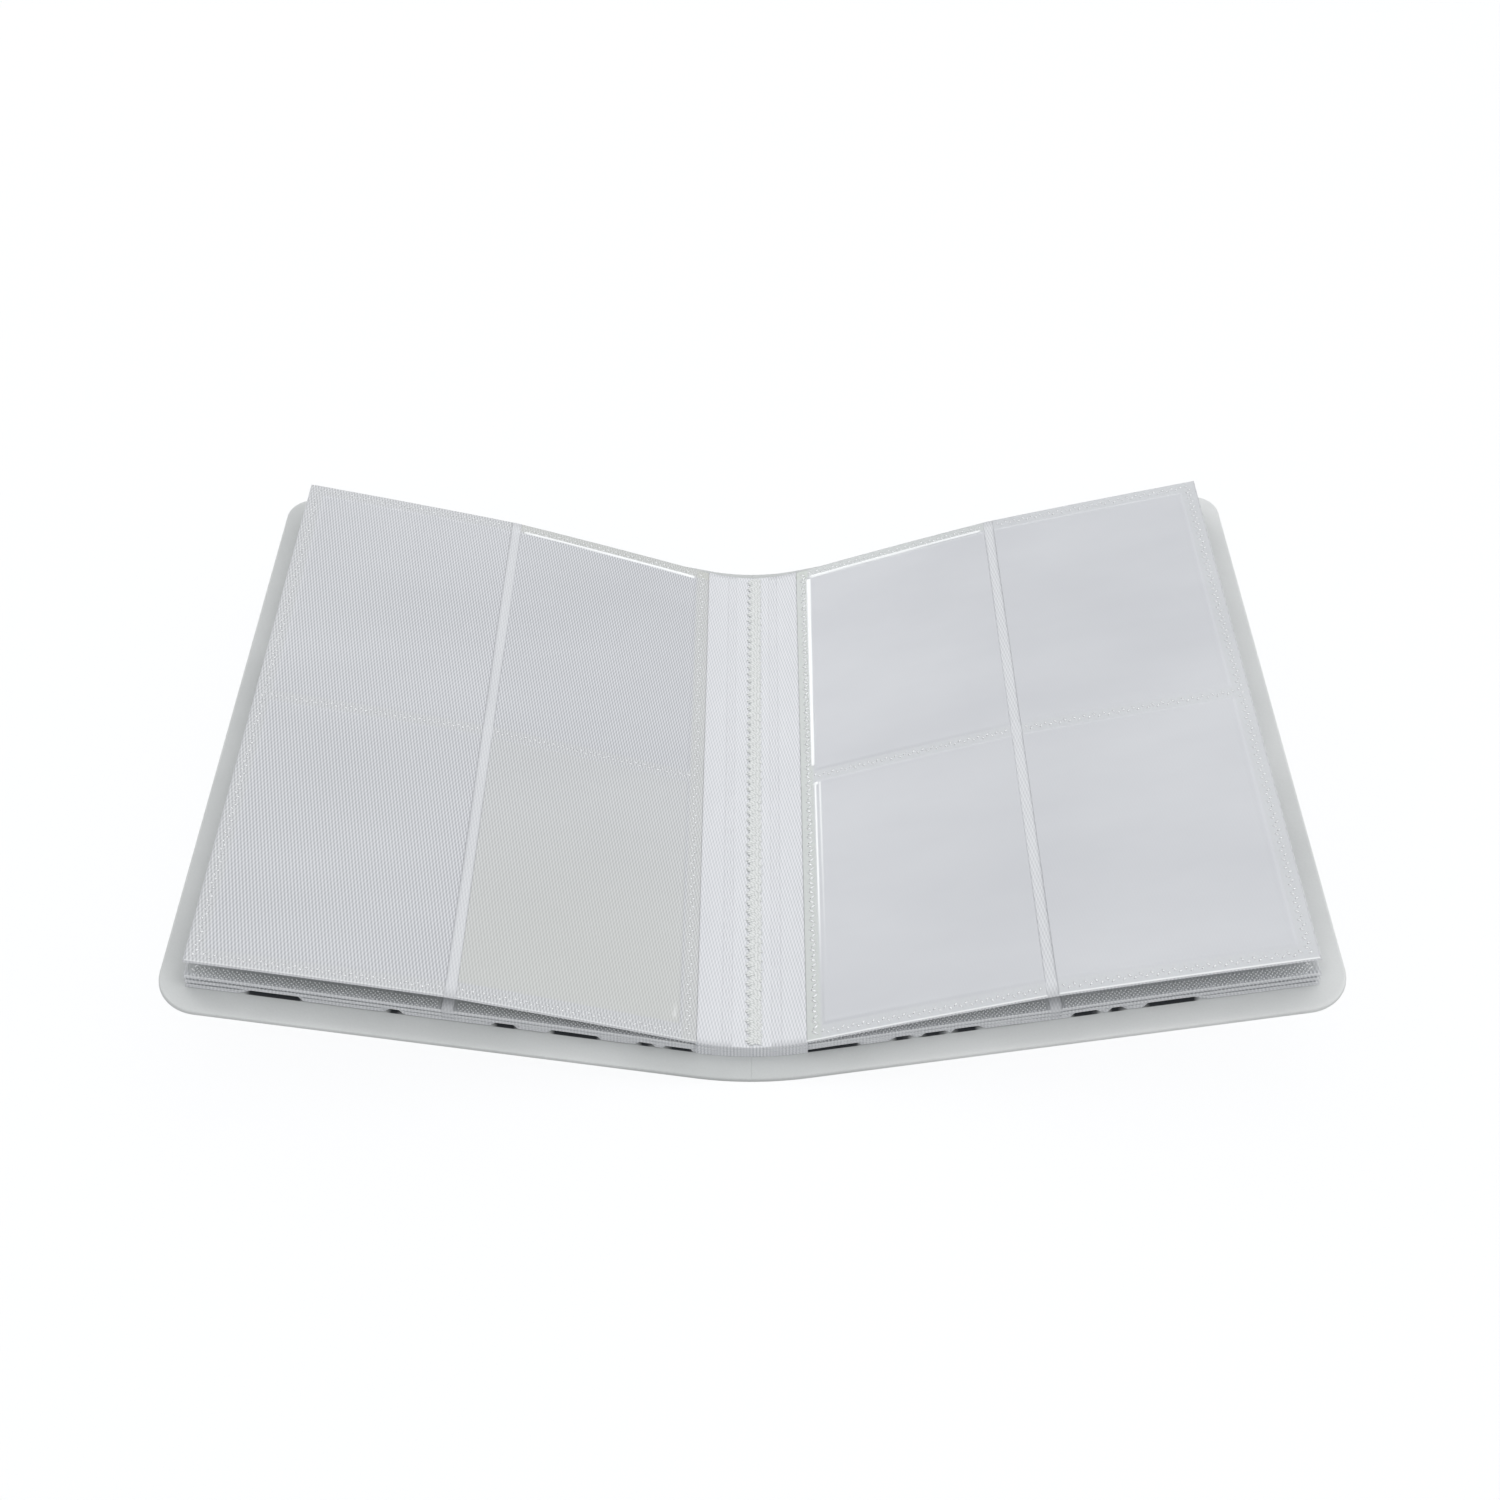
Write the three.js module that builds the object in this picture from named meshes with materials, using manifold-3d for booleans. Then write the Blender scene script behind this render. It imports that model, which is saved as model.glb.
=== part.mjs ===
// Open trading card album: four folios of clear side-loading pockets sewn into a soft one-piece cover
// Millimetres, +Z up, +X to the right half, +Y from the lower page edge to the upper page edge
// The origin is under the middle of the spine, on the surface that the album lies on
import * as THREE from 'three';
import { mergeVertices } from 'three/addons/utils/BufferGeometryUtils.js';
import Module from 'manifold-3d';

const wasm = await Module();
wasm.setup();

// Card and pocket sizes
const cardWidth = 63;
const cardHeight = 88;
const pocketPlayAcross = 3;
const pocketPlayAlong = 5;
const rows = 2;
const weldWidth = 4.2;
const bandWidth = 3.4;

// Sheets and films
const sheetThickness = 0.25;
const filmThickness = 0.15;
const filmLift = 0.15;
const weldClearance = 0.05;
const edgeSetback = 0.7;
const leafCornerRadius = 1.2;

// Leaves in the stack
const leavesPerSide = 4;
const leafPitch = 1.3;
const topLeafBend = 5.2;
const lowerLeafBend = 0.6;
const leafRestAngle = 0.15;
const topFanAngle = 2.1;
const lowerFanAngle = 0.33;
const gutterHalfWidth = 16;
const gutterThickness = 0.8;
const panelGap = 0.3;
const foldFromMiddle = 7.5;

// Cover
const coverThickness = 1.6;
const coverMarginSide = 8;
const coverMarginEnd = 7.5;
const coverCornerRadius = 11.5;
const coverSlope = 14.3;
const spineFlatHalf = 5.2;
const spineBendRadius = 25;
const bendReach = 16;
const coverFoldHeight = 4;
const gutterClearance = 0.35;

// Sewn seam
const threadDiameter = 0.6;
const stitchPitch = 3.3;
const stitchWidth = 4.8;
const seamOffset = 0.5;
const seamEndMargin = 1.5;
const threadClearance = 0.1;

// Derived sizes
const pocketWidth = cardWidth + pocketPlayAcross;
const pocketHeight = cardHeight + pocketPlayAlong;
const columnWidth = edgeSetback + weldWidth + pocketWidth;
const leafWidth = 2 * columnWidth + bandWidth;
const leafHeight = rows * pocketHeight + (rows + 1) * weldWidth + 2 * edgeSetback;
const coverHeight = leafHeight + 2 * coverMarginEnd;
const panelStart = gutterHalfWidth + panelGap;
const rise = THREE.MathUtils.degToRad(coverSlope);
const bottomGutter = coverThickness + gutterClearance + gutterThickness / 2;
const topGutter = bottomGutter + (leavesPerSide - 1) * leafPitch;

const look = {
  cover: new THREE.MeshStandardMaterial({ name: 'cover_soft_plastic', color: 0xc6c8c8, roughness: 0.75 }),
  sheet: new THREE.MeshStandardMaterial({ name: 'embossed_page_sheet', color: 0xd3d5d9, roughness: 0.6 }),
  film: new THREE.MeshStandardMaterial({ name: 'clear_pocket_film', color: 0xdadce0, roughness: 0.3 }),
  thread: new THREE.MeshStandardMaterial({ name: 'seam_thread', color: 0xe9e8e2, roughness: 0.8 }),
};

// Join and cut
function solid(geometry) {
  const bare = geometry.clone();
  bare.deleteAttribute('normal');
  bare.deleteAttribute('uv');
  const merged = mergeVertices(bare, 1e-5);
  const mesh = new wasm.Mesh({
    numProp: 3,
    vertProperties: new Float32Array(merged.attributes.position.array),
    triVerts: new Uint32Array(merged.index.array),
  });
  return new wasm.Manifold(mesh);
}

function geometryOf(body) {
  const mesh = body.getMesh();
  const indexed = new THREE.BufferGeometry();
  indexed.setAttribute('position', new THREE.BufferAttribute(new Float32Array(mesh.vertProperties), 3));
  indexed.setIndex(new THREE.BufferAttribute(new Uint32Array(mesh.triVerts), 1));
  const flat = indexed.toNonIndexed();
  flat.computeVertexNormals();
  return flat;
}

function block(x0, x1, y0, y1, z0, z1) {
  const box = new THREE.BoxGeometry(x1 - x0, y1 - y0, z1 - z0);
  box.translate((x0 + x1) / 2, (y0 + y1) / 2, (z0 + z1) / 2);
  return solid(box);
}

function meshOf(geometry, material, name) {
  const mesh = new THREE.Mesh(geometry, material.clone());
  mesh.name = name;
  return mesh;
}

// A section drawn in X and Z, run along Y about the middle
function alongSpine(shape, length, curveSegments = 12) {
  const run = new THREE.ExtrudeGeometry(shape, { depth: length, bevelEnabled: false, curveSegments });
  run.rotateX(Math.PI / 2);
  run.translate(0, length / 2, 0);
  return run;
}

// A rectangle with its two outer corners rounded, stood up as a prism
function outline(x0, x1, height, radius, z0, z1) {
  const shape = new THREE.Shape();
  const half = height / 2;
  shape.moveTo(x0, -half);
  shape.lineTo(x1 - radius, -half);
  shape.absarc(x1 - radius, -half + radius, radius, -Math.PI / 2, 0, false);
  shape.lineTo(x1, half - radius);
  shape.absarc(x1 - radius, half - radius, radius, 0, Math.PI / 2, false);
  shape.lineTo(x0, half);
  shape.closePath();
  const prism = new THREE.ExtrudeGeometry(shape, { depth: z1 - z0, bevelEnabled: false, curveSegments: 10 });
  prism.translate(0, 0, z0);
  return solid(prism);
}

// How a leaf lies: its slope beside the gutter, its bend along the band, and where it starts from its fold line
function lieOf(bendAngle) {
  const slope = THREE.MathUtils.degToRad(coverSlope + bendAngle / 2 + leafRestAngle);
  const curl = Math.tan(slope) / (2 * panelStart);
  const foldLift = curl * foldFromMiddle * foldFromMiddle;
  const start = new THREE.Vector2(panelStart - foldFromMiddle, curl * panelStart * panelStart - foldLift);
  return { slope, bend: THREE.MathUtils.degToRad(bendAngle), foldLift, start };
}

// Base sheet of one leaf, flat in each column and bent along the band between them
const bandAt = columnWidth + bandWidth / 2;

function leafPoint(along, lift, lie) {
  const { slope, bend, start } = lie;
  const inner = Math.min(along, bandAt);
  const outer = Math.max(along - bandAt, 0);
  const tilt = along > bandAt ? slope - bend : slope;
  const x = start.x + inner * Math.cos(slope) + outer * Math.cos(slope - bend) - lift * Math.sin(tilt);
  const z = start.y + inner * Math.sin(slope) + outer * Math.sin(slope - bend) + lift * Math.cos(tilt);
  return new THREE.Vector2(x, z);
}

function sheetGeometry(lie, trim) {
  const half = sheetThickness / 2;
  const mid = lie.slope - lie.bend / 2;
  const corner = leafPoint(bandAt, 0, lie);
  const mitre = half / Math.cos(lie.bend / 2);
  const offset = new THREE.Vector2(-Math.sin(mid) * mitre, Math.cos(mid) * mitre);
  const shape = new THREE.Shape([
    leafPoint(0, -half, lie),
    corner.clone().sub(offset),
    leafPoint(leafWidth, -half, lie),
    leafPoint(leafWidth, half, lie),
    corner.clone().add(offset),
    leafPoint(0, half, lie),
  ]);
  return geometryOf(solid(alongSpine(shape, leafHeight)).intersect(trim));
}

// Pocket film of one column: welded down on three sides and between the rows, open at the band
function filmFlat() {
  const low = weldClearance + filmThickness;
  const high = low + filmLift;
  const half = leafHeight / 2 - edgeSetback;
  let body = block(edgeSetback, columnWidth, -half, half, weldClearance, low);
  const pocketStart = edgeSetback + weldWidth;
  for (let row = 0; row < rows; row += 1) {
    const y0 = -half + weldWidth + row * (pocketHeight + weldWidth);
    const y1 = y0 + pocketHeight;
    body = body.add(block(pocketStart - filmThickness, columnWidth, y0 - filmThickness, y1 + filmThickness,
      weldClearance, high));
  }
  for (let row = 0; row < rows; row += 1) {
    const y0 = -half + weldWidth + row * (pocketHeight + weldWidth);
    const y1 = y0 + pocketHeight;
    body = body.subtract(block(pocketStart, columnWidth + 1, y0, y1, -1, high - filmThickness));
  }
  return geometryOf(body);
}

function filmGeometry(lie, trim, outerColumn, under) {
  const film = filmFlat();
  if (outerColumn) film.rotateZ(Math.PI);
  if (outerColumn) film.translate(leafWidth, 0, 0);
  film.translate(0, 0, sheetThickness / 2);
  if (under) film.rotateX(Math.PI);
  const tilt = outerColumn ? lie.slope - lie.bend : lie.slope;
  const from = outerColumn ? leafPoint(leafWidth, 0, lie) : lie.start;
  film.translate(outerColumn ? -leafWidth : 0, 0, 0);
  film.rotateY(-tilt);
  film.translate(from.x, 0, from.y);
  return geometryOf(solid(film).intersect(trim));
}

// The top leaf arches over the stack, the lower leaves lie almost flat on the cover
const topLie = lieOf(topLeafBend);
const lowerLie = lieOf(lowerLeafBend);
const edge = leafPoint(leafWidth, 0, topLie);

function leafShapes(lie) {
  const trim = outline(-10, leafPoint(leafWidth, 0, lie).x, leafHeight, leafCornerRadius, -20, 200);
  return {
    sheet: sheetGeometry(lie, trim),
    upper_inner_pockets: filmGeometry(lie, trim, false, false),
    upper_outer_pockets: filmGeometry(lie, trim, true, false),
    under_inner_pockets: filmGeometry(lie, trim, false, true),
    under_outer_pockets: filmGeometry(lie, trim, true, true),
  };
}

const topShapes = leafShapes(topLie);
const lowerShapes = leafShapes(lowerLie);

function fanAngle(number) {
  if (number === 1) return topFanAngle;
  return number < leavesPerSide ? lowerFanAngle : 0;
}

function leafGroup(side, number) {
  const leaf = new THREE.Group();
  leaf.name = `${side}_leaf_${number}`;
  for (const [piece, geometry] of Object.entries(number === 1 ? topShapes : lowerShapes)) {
    const material = piece === 'sheet' ? look.sheet : look.film;
    leaf.add(meshOf(geometry.clone(), material, `${side}_leaf_${number}_${piece}`));
  }
  leaf.rotation.y = -THREE.MathUtils.degToRad(fanAngle(number));
  return leaf;
}

// Cover: one sheet, flat under the spine, bent up in an arc on both sides, straight beyond the bend
function coverUnder(x) {
  const along = Math.max(x - spineFlatHalf, 0);
  const arcEnd = spineBendRadius * Math.sin(rise);
  const angle = along < arcEnd ? Math.asin(along / spineBendRadius) : rise;
  const z = spineBendRadius * (1 - Math.cos(angle)) + Math.max(along - arcEnd, 0) * Math.tan(rise);
  return { x, z, angle };
}

function coverStrip(x0, x1, steps) {
  const under = [];
  const over = [];
  for (let step = 0; step <= steps; step += 1) {
    const at = coverUnder(x0 + (x1 - x0) * step / steps);
    under.push(new THREE.Vector2(at.x, at.z));
    over.unshift(new THREE.Vector2(at.x - coverThickness * Math.sin(at.angle),
      at.z + coverThickness * Math.cos(at.angle)));
  }
  return geometryOf(solid(alongSpine(new THREE.Shape([...under, ...over]), coverHeight)));
}

function spineStrip() {
  const width = 2 * spineFlatHalf - panelGap;
  return new THREE.BoxGeometry(width, coverHeight, coverThickness).translate(0, 0, coverThickness / 2);
}

function coverPanel() {
  const from = coverUnder(bendReach + panelGap / 2);
  const reach = (foldFromMiddle + edge.x + coverMarginSide - from.x) / Math.cos(rise);
  const panel = geometryOf(outline(0, reach, coverHeight, coverCornerRadius, 0, coverThickness));
  panel.rotateY(-rise);
  panel.translate(from.x, 0, from.z);
  return panel;
}

const album = new THREE.Group();
album.name = 'card_album';

const spine = new THREE.Group();
spine.name = 'spine';
spine.add(meshOf(spineStrip(), look.cover, 'spine_cover'));
album.add(spine);

// One half of the album, built on the right and turned half round for the left
const gutterEnds = [];

function half(side, turn) {
  const whole = new THREE.Group();
  whole.name = `${side}_half`;
  whole.rotation.z = turn;
  const cover = new THREE.Group();
  cover.name = `${side}_cover`;
  const fold = new THREE.Vector3(foldFromMiddle, 0, coverFoldHeight);
  cover.position.copy(fold);
  const panel = coverPanel();
  panel.translate(-fold.x, 0, -fold.z);
  cover.add(meshOf(panel, look.cover, `${side}_cover_panel`));
  const bendStrip = coverStrip(spineFlatHalf + panelGap / 2, bendReach - panelGap / 2, 10);
  whole.add(cover);
  whole.add(meshOf(bendStrip, look.cover, `${side}_cover_bend`));
  let holder = cover;
  let from = fold;
  for (let number = leavesPerSide; number >= 1; number -= 1) {
    const leaf = leafGroup(side, number);
    const level = bottomGutter + (leavesPerSide - number) * leafPitch;
    const lie = number === 1 ? topLie : lowerLie;
    const hinge = new THREE.Vector3(foldFromMiddle, 0, level + lie.foldLift);
    leaf.position.copy(hinge).sub(from);
    holder.add(leaf);
    holder = leaf;
    from = hinge;
  }
  album.add(whole);
  album.updateMatrixWorld(true);
  for (let number = 1; number <= leavesPerSide; number += 1) {
    const leaf = whole.getObjectByName(`${side}_leaf_${number}`);
    const { start } = number === 1 ? topLie : lowerLie;
    gutterEnds[number] = leaf.localToWorld(new THREE.Vector3(start.x, 0, start.y));
  }
}

half('front', Math.PI);
half('back', 0);

// Gutter of each folio: the strip that joins its two leaves, a shallow bowl sewn down in the middle
function gutterGeometry(number) {
  const level = bottomGutter + (leavesPerSide - number) * leafPitch;
  const reach = Math.abs(gutterEnds[number].x) - panelGap;
  const depth = (gutterEnds[number].z - level) / gutterEnds[number].x ** 2;
  const steps = 12;
  const under = [];
  const over = [];
  for (let step = 0; step <= steps; step += 1) {
    const x = reach * (2 * step / steps - 1);
    const tilt = Math.atan(2 * depth * x);
    const across = gutterThickness / 2 * Math.sin(tilt);
    const up = gutterThickness / 2 * Math.cos(tilt);
    const z = level + depth * x * x;
    under.push(new THREE.Vector2(x + across, z - up));
    over.unshift(new THREE.Vector2(x - across, z + up));
  }
  return geometryOf(solid(alongSpine(new THREE.Shape([...under, ...over]), leafHeight)));
}

for (let number = 1; number <= leavesPerSide; number += 1) {
  spine.add(meshOf(gutterGeometry(number), look.sheet, `gutter_fold_${number}`));
}

// Sewn seam: one thread laid in a zigzag along the bottom of the gutter, a little right of the middle
function seamGeometry() {
  const runLength = leafHeight - 2 * seamEndMargin;
  const turns = 2 * Math.round(runLength / stitchPitch);
  const level = topGutter + gutterThickness / 2 + threadDiameter / 2 + threadClearance;
  const rest = (gutterEnds[1].z - topGutter) / gutterEnds[1].x ** 2;
  const points = [];
  for (let turn = 0; turn <= turns; turn += 1) {
    const x = seamOffset + (turn % 2 ? 0.5 : -0.5) * (stitchWidth - threadDiameter);
    const y = runLength * (turn / turns - 0.5);
    points.push(new THREE.Vector3(x, y, level + rest * x * x));
  }
  const path = new THREE.CatmullRomCurve3(points, false, 'catmullrom', 0.15);
  const round = new THREE.Shape();
  round.absarc(0, 0, threadDiameter / 2, 0, 2 * Math.PI, false);
  const thread = new THREE.ExtrudeGeometry(round, {
    steps: turns * 4, extrudePath: path, bevelEnabled: false, curveSegments: 3,
  });
  return geometryOf(solid(thread));
}

spine.add(meshOf(seamGeometry(), look.thread, 'zigzag_seam'));

export default album;
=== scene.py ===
import bpy
import numpy as np
from mathutils import Matrix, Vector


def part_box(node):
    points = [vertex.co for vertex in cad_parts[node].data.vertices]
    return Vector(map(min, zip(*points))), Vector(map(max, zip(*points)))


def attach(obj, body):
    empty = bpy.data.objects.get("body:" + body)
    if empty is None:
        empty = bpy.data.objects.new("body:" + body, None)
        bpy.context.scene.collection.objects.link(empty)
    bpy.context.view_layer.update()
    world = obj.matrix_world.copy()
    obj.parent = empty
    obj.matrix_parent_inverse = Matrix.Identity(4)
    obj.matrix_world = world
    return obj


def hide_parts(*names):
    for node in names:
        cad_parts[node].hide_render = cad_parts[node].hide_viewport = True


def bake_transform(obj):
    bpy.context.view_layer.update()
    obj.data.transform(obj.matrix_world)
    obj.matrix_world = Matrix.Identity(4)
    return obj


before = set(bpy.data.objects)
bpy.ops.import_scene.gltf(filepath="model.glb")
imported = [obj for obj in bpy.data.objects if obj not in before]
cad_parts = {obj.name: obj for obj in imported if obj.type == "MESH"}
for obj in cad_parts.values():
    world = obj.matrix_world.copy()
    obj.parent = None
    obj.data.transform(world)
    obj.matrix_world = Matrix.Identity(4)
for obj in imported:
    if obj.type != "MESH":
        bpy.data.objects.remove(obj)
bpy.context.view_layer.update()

mm = 0.001

# Sizes that every piece shares, in millimetres and degrees, as in the part's own source
album = {
    "leaves": 4,
    "leafPitch": 1.3,  # from one gutter fold to the next
    "foldFromMiddle": 7.5,
    "panelStart": 16.3,
    "columnWidth": 70.9,
    "bandWidth": 3.4,
    "leafHeight": 200.0,
    "edgeSetback": 0.7,
    "weldWidth": 4.2,
    "sheetThickness": 0.25,
    "coverThickness": 1.6,
    "gutterThickness": 0.8, "gutterClearance": 0.35,
    "coverSlope": 14.3,
    "topBend": 5.2,  # at the band, on the top leaf
    "lowerBend": 0.6,
    "restAngle": 0.15,
    "topFan": 2.1,
    "lowerFan": 0.33,
}
leafWidth = 2 * album["columnWidth"] + album["bandWidth"]
bandAt = album["columnWidth"] + album["bandWidth"] / 2
coverRise = np.radians(album["coverSlope"])
bottomGutter = album["coverThickness"] + album["gutterClearance"] + album["gutterThickness"] / 2
halfHeight = album["leafHeight"] / 2
halfSheet = album["sheetThickness"] / 2
sideNames = {-1: "front", 1: "back"}


def smooth(t):
    # 3t squared minus 2t cubed, with t held between 0 and 1
    t = np.clip(t, 0, 1)
    return t * t * (3 - 2 * t)


def rising(d, span):
    # from 0 at the start of a span, eased, to 1 at its end: a span is a start and a length in mm
    return smooth((d - span[0]) / span[1])


def hump(d, width):
    # squared half sine over a width, zero outside it
    return np.sin(np.pi * np.clip(d / width, 0, 1)) ** 2


def stacked(*parts):
    # arrays and numbers side by side along a new last axis
    return np.stack(np.broadcast_arrays(*parts), -1)


# Meshes


def putMesh(name, points, faces, smoothFaces=None, pattern=None):
    # arrays straight into a mesh; pattern holds each point's place in mm, then its shares of ridge with
    # painted highlight and of margin tone with painted shade
    mesh = bpy.data.meshes.new(name)
    mesh.vertices.add(len(points))
    mesh.vertices.foreach_set("co", np.ascontiguousarray(points, np.float32).ravel())
    mesh.loops.add(faces.size)
    mesh.loops.foreach_set("vertex_index", faces.ravel().astype(np.int32))
    mesh.polygons.add(len(faces))
    starts = np.arange(len(faces), dtype=np.int32) * faces.shape[1]
    mesh.polygons.foreach_set("loop_start", starts)
    shade = np.ones(len(faces), bool) if smoothFaces is None else smoothFaces
    mesh.polygons.foreach_set("use_smooth", shade)
    if pattern is not None:
        layer = mesh.attributes.new("patternMm", "FLOAT_VECTOR", "POINT")
        layer.data.foreach_set("vector", np.ascontiguousarray(pattern[:, :3], np.float32).ravel())
        for column, label in enumerate(("ridgeAndHighlight", "marginAndShade")[:pattern.shape[1] - 3]):
            layer = mesh.attributes.new(label, "FLOAT", "POINT")
            values = np.ascontiguousarray(pattern[:, 3 + column], np.float32)
            layer.data.foreach_set("value", values)
    mesh.update(calc_edges=True)
    mesh.validate()
    piece = bpy.data.objects.new(name, mesh)
    bpy.context.scene.collection.objects.link(piece)
    return piece


def plate(name, surface, rings, flip=False, sharpRim=True, flatRows=0):
    # A closed plate over a grid. surface(inset, lift) gives the points and the pattern of one level, and
    # rings lists (inset, lift) from the upper face down to the under face. Both faces are grids, and bands
    # through the levels between them join their borders. The first rows, tucked under a neighbour, are
    # shaded flat so that their step does not show.
    top, pattern = surface(*rings[0])
    under = surface(*rings[-1])[0]
    rows, columns = top.shape[:2]
    size = rows * columns
    index = np.arange(size).reshape(rows, columns)
    quads = stacked(index[:-1, :-1], index[1:, :-1], index[1:, 1:], index[:-1, 1:]).reshape(-1, 4)
    border = np.concatenate([index[:, 0], index[-1, 1:], index[-2::-1, -1], index[0, -2:0:-1]])
    pattern = pattern.reshape(size, -1)
    points = [top.reshape(-1, 3), under.reshape(-1, 3)]
    patterns = [pattern, pattern]
    loops = [border]
    start = 2 * size
    for inset, lift in rings[1:-1]:
        points.append(surface(inset, lift)[0].reshape(-1, 3)[border])
        patterns.append(pattern[border])
        loops.append(start + np.arange(len(border)))
        start += len(border)
    loops.append(border + size)
    faces = [quads, quads[:, ::-1] + size]
    for upper, lower in zip(loops[:-1], loops[1:]):
        faces.append(stacked(upper, lower, np.roll(lower, -1), np.roll(upper, -1)))
    faces = np.concatenate(faces)
    if flip:
        faces = faces[:, ::-1]
    smoothGrid = np.arange(len(quads)) >= flatRows * (columns - 1)
    smoothBand = np.full(len(border), not sharpRim)
    lastRow = 2 * rows + columns - 3  # where the border comes back to the first row
    smoothBand[:flatRows] = False
    smoothBand[lastRow - flatRows:] = False
    smoothFaces = np.concatenate([smoothGrid, smoothGrid] + [smoothBand] * (len(loops) - 1))
    return putMesh(name, np.concatenate(points), faces, smoothFaces, np.concatenate(patterns))


# The path of a leaf

curve = {"innerEase": 0.9, "outerEase": 0.7, "bandEase": 2.4, "samples": 1200}


def leafPath(bendDegrees):
    # the slope falls a little along each column and turns by the bend across the band
    # x and height are the running sums of its cosine and sine
    slope = np.radians(album["coverSlope"] + bendDegrees / 2 + album["restAngle"])
    u = np.linspace(0, leafWidth, curve["samples"])
    along = np.clip(u / bandAt, 0, 1)
    beyond = np.clip((u - bandAt) / (leafWidth - bandAt), 0, 1)
    inner = slope + np.radians(curve["innerEase"]) * (1 - 2 * along)
    outer = slope - np.radians(bendDegrees) + np.radians(curve["outerEase"]) * (1 - 2 * beyond)
    mix = smooth((u - bandAt) / (2 * curve["bandEase"]) + 0.5)
    angle = inner * (1 - mix) + outer * mix
    curl = np.tan(slope) / (2 * album["panelStart"])
    x = album["panelStart"] + np.concatenate([[0], np.cumsum(np.cos(angle[:-1]) * u[1])])
    z = curl * album["panelStart"] ** 2 + np.concatenate([[0], np.cumsum(np.sin(angle[:-1]) * u[1])])
    return {"u": u, "angle": angle, "x": x, "z": z, "curl": curl}


topLie = leafPath(album["topBend"])
lowerLie = leafPath(album["lowerBend"])


def lieOf(number):
    # leaf 1 is the top one and is arched, those under it lie nearly flat
    return topLie if number == 1 else lowerLie


def levelOf(number):
    # middle height of a gutter fold: the lowest one, plus a pitch for each leaf under this one
    return bottomGutter + (album["leaves"] - number) * album["leafPitch"]


def fanOf(number):
    # angle by which a leaf stands up from the one under it
    if number == 1:
        return np.radians(album["topFan"])
    return np.radians(album["lowerFan"]) if number < album["leaves"] else 0.0


def fanned(x, z, number):
    # turns a point of a leaf by its own fan angle and by those of the leaves under it, about each fold line
    for m in range(number, album["leaves"] + 1):
        cx = album["foldFromMiddle"]
        cz = levelOf(m) + lieOf(m)["curl"] * cx * cx
        c, s = np.cos(fanOf(m)), np.sin(fanOf(m))
        x, z = cx + (x - cx) * c - (z - cz) * s, cz + (x - cx) * s + (z - cz) * c
    return x, z


# How the lower leaves lie near their ends, in mm. At its front end the lowest leaf lifts off the cover in the
# stretches listed, measured out from the gutter on the front and on the back half.
ripple = {
    "ends": (76.0, 18.0),  # the sag begins so far from the middle, and grows over so much
    "room": 0.26, "roomGain": 0.50,
    "follow": {2: 0.7, 3: 0.85, 4: 1.0},
    "wave": 0.05,
    "waveTurns": (0.33, 1.7, 2.1),  # radians for each mm out, for the half and for each leaf
    "stretches": {
        -1: [(1.5, 9), (13.6, 17.7), (29.5, 43), (53.3, 60), (86, 90), (114, 129)],
        1: [(-4, 15.6), (26, 30.6), (34.4, 41), (43.6, 51.1), (77.5, 85), (88, 92.3), (98.1, 112.8)],
    },
    "stretchEase": 1.5,
    "lift": 0.35,
    "setBack": 1.3, "setBackEnds": (90.0, 9.5),
}


def liftShare(side, u):
    # one inside each lifted stretch and zero outside, with eased ends
    ease = ripple["stretchEase"]
    stretches = ripple["stretches"][side]
    return sum(smooth((u - start) / ease + 0.5) * smooth((end - u) / ease + 0.5) for start, end in stretches)


def endRipple(side, number, u, v):
    # near its ends a lower leaf sags towards the cover, each by its own share, with a slight sine wave
    room = ripple["room"] + ripple["roomGain"] * np.clip(u / bandAt, 0, 1)
    drop = room * ripple["follow"][number]
    if number > 2:
        outTurn, sideTurn, leafTurn = ripple["waveTurns"]
        drop = drop + ripple["wave"] * np.sin(outTurn * u + sideTurn * side + leafTurn * number)
    if number == album["leaves"]:
        drop = drop - ripple["lift"] * room * liftShare(side, u) * (v < 0)
    return -drop * rising(np.abs(v), ripple["ends"])


def onLeaf(side, number, u, v, w):
    # u runs out from the gutter along the leaf, v along the spine, w is the height off the leaf's middle
    # plane: the path at u, plus w square to it, then fanned
    lie = lieOf(number)
    angle = np.interp(u, lie["u"], lie["angle"])
    if number > 1:
        w = w + endRipple(side, number, u, v)
    if number == album["leaves"]:
        # where the lowest leaf lifts, its front end also lies a little further in
        v = v + ripple["setBack"] * liftShare(side, u) * rising(-v, ripple["setBackEnds"])
    x = np.interp(u, lie["u"], lie["x"]) - w * np.sin(angle)
    z = np.interp(u, lie["u"], lie["z"]) + w * np.cos(angle) + levelOf(number)
    x, z = fanned(x, z, number)
    return stacked(side * x, v, z) * mm


# Materials. Their patterns follow patternMm, each point's place on its own piece in mm.


def linear(code):
    # sRGB hex to linear: a straight piece near black, then a power of 2.4
    values = [int(code[i:i + 2], 16) / 255 for i in (1, 3, 5)]
    return [v / 12.92 if v <= 0.04045 else ((v + 0.055) / 1.055) ** 2.4 for v in values] + [1.0]


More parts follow.
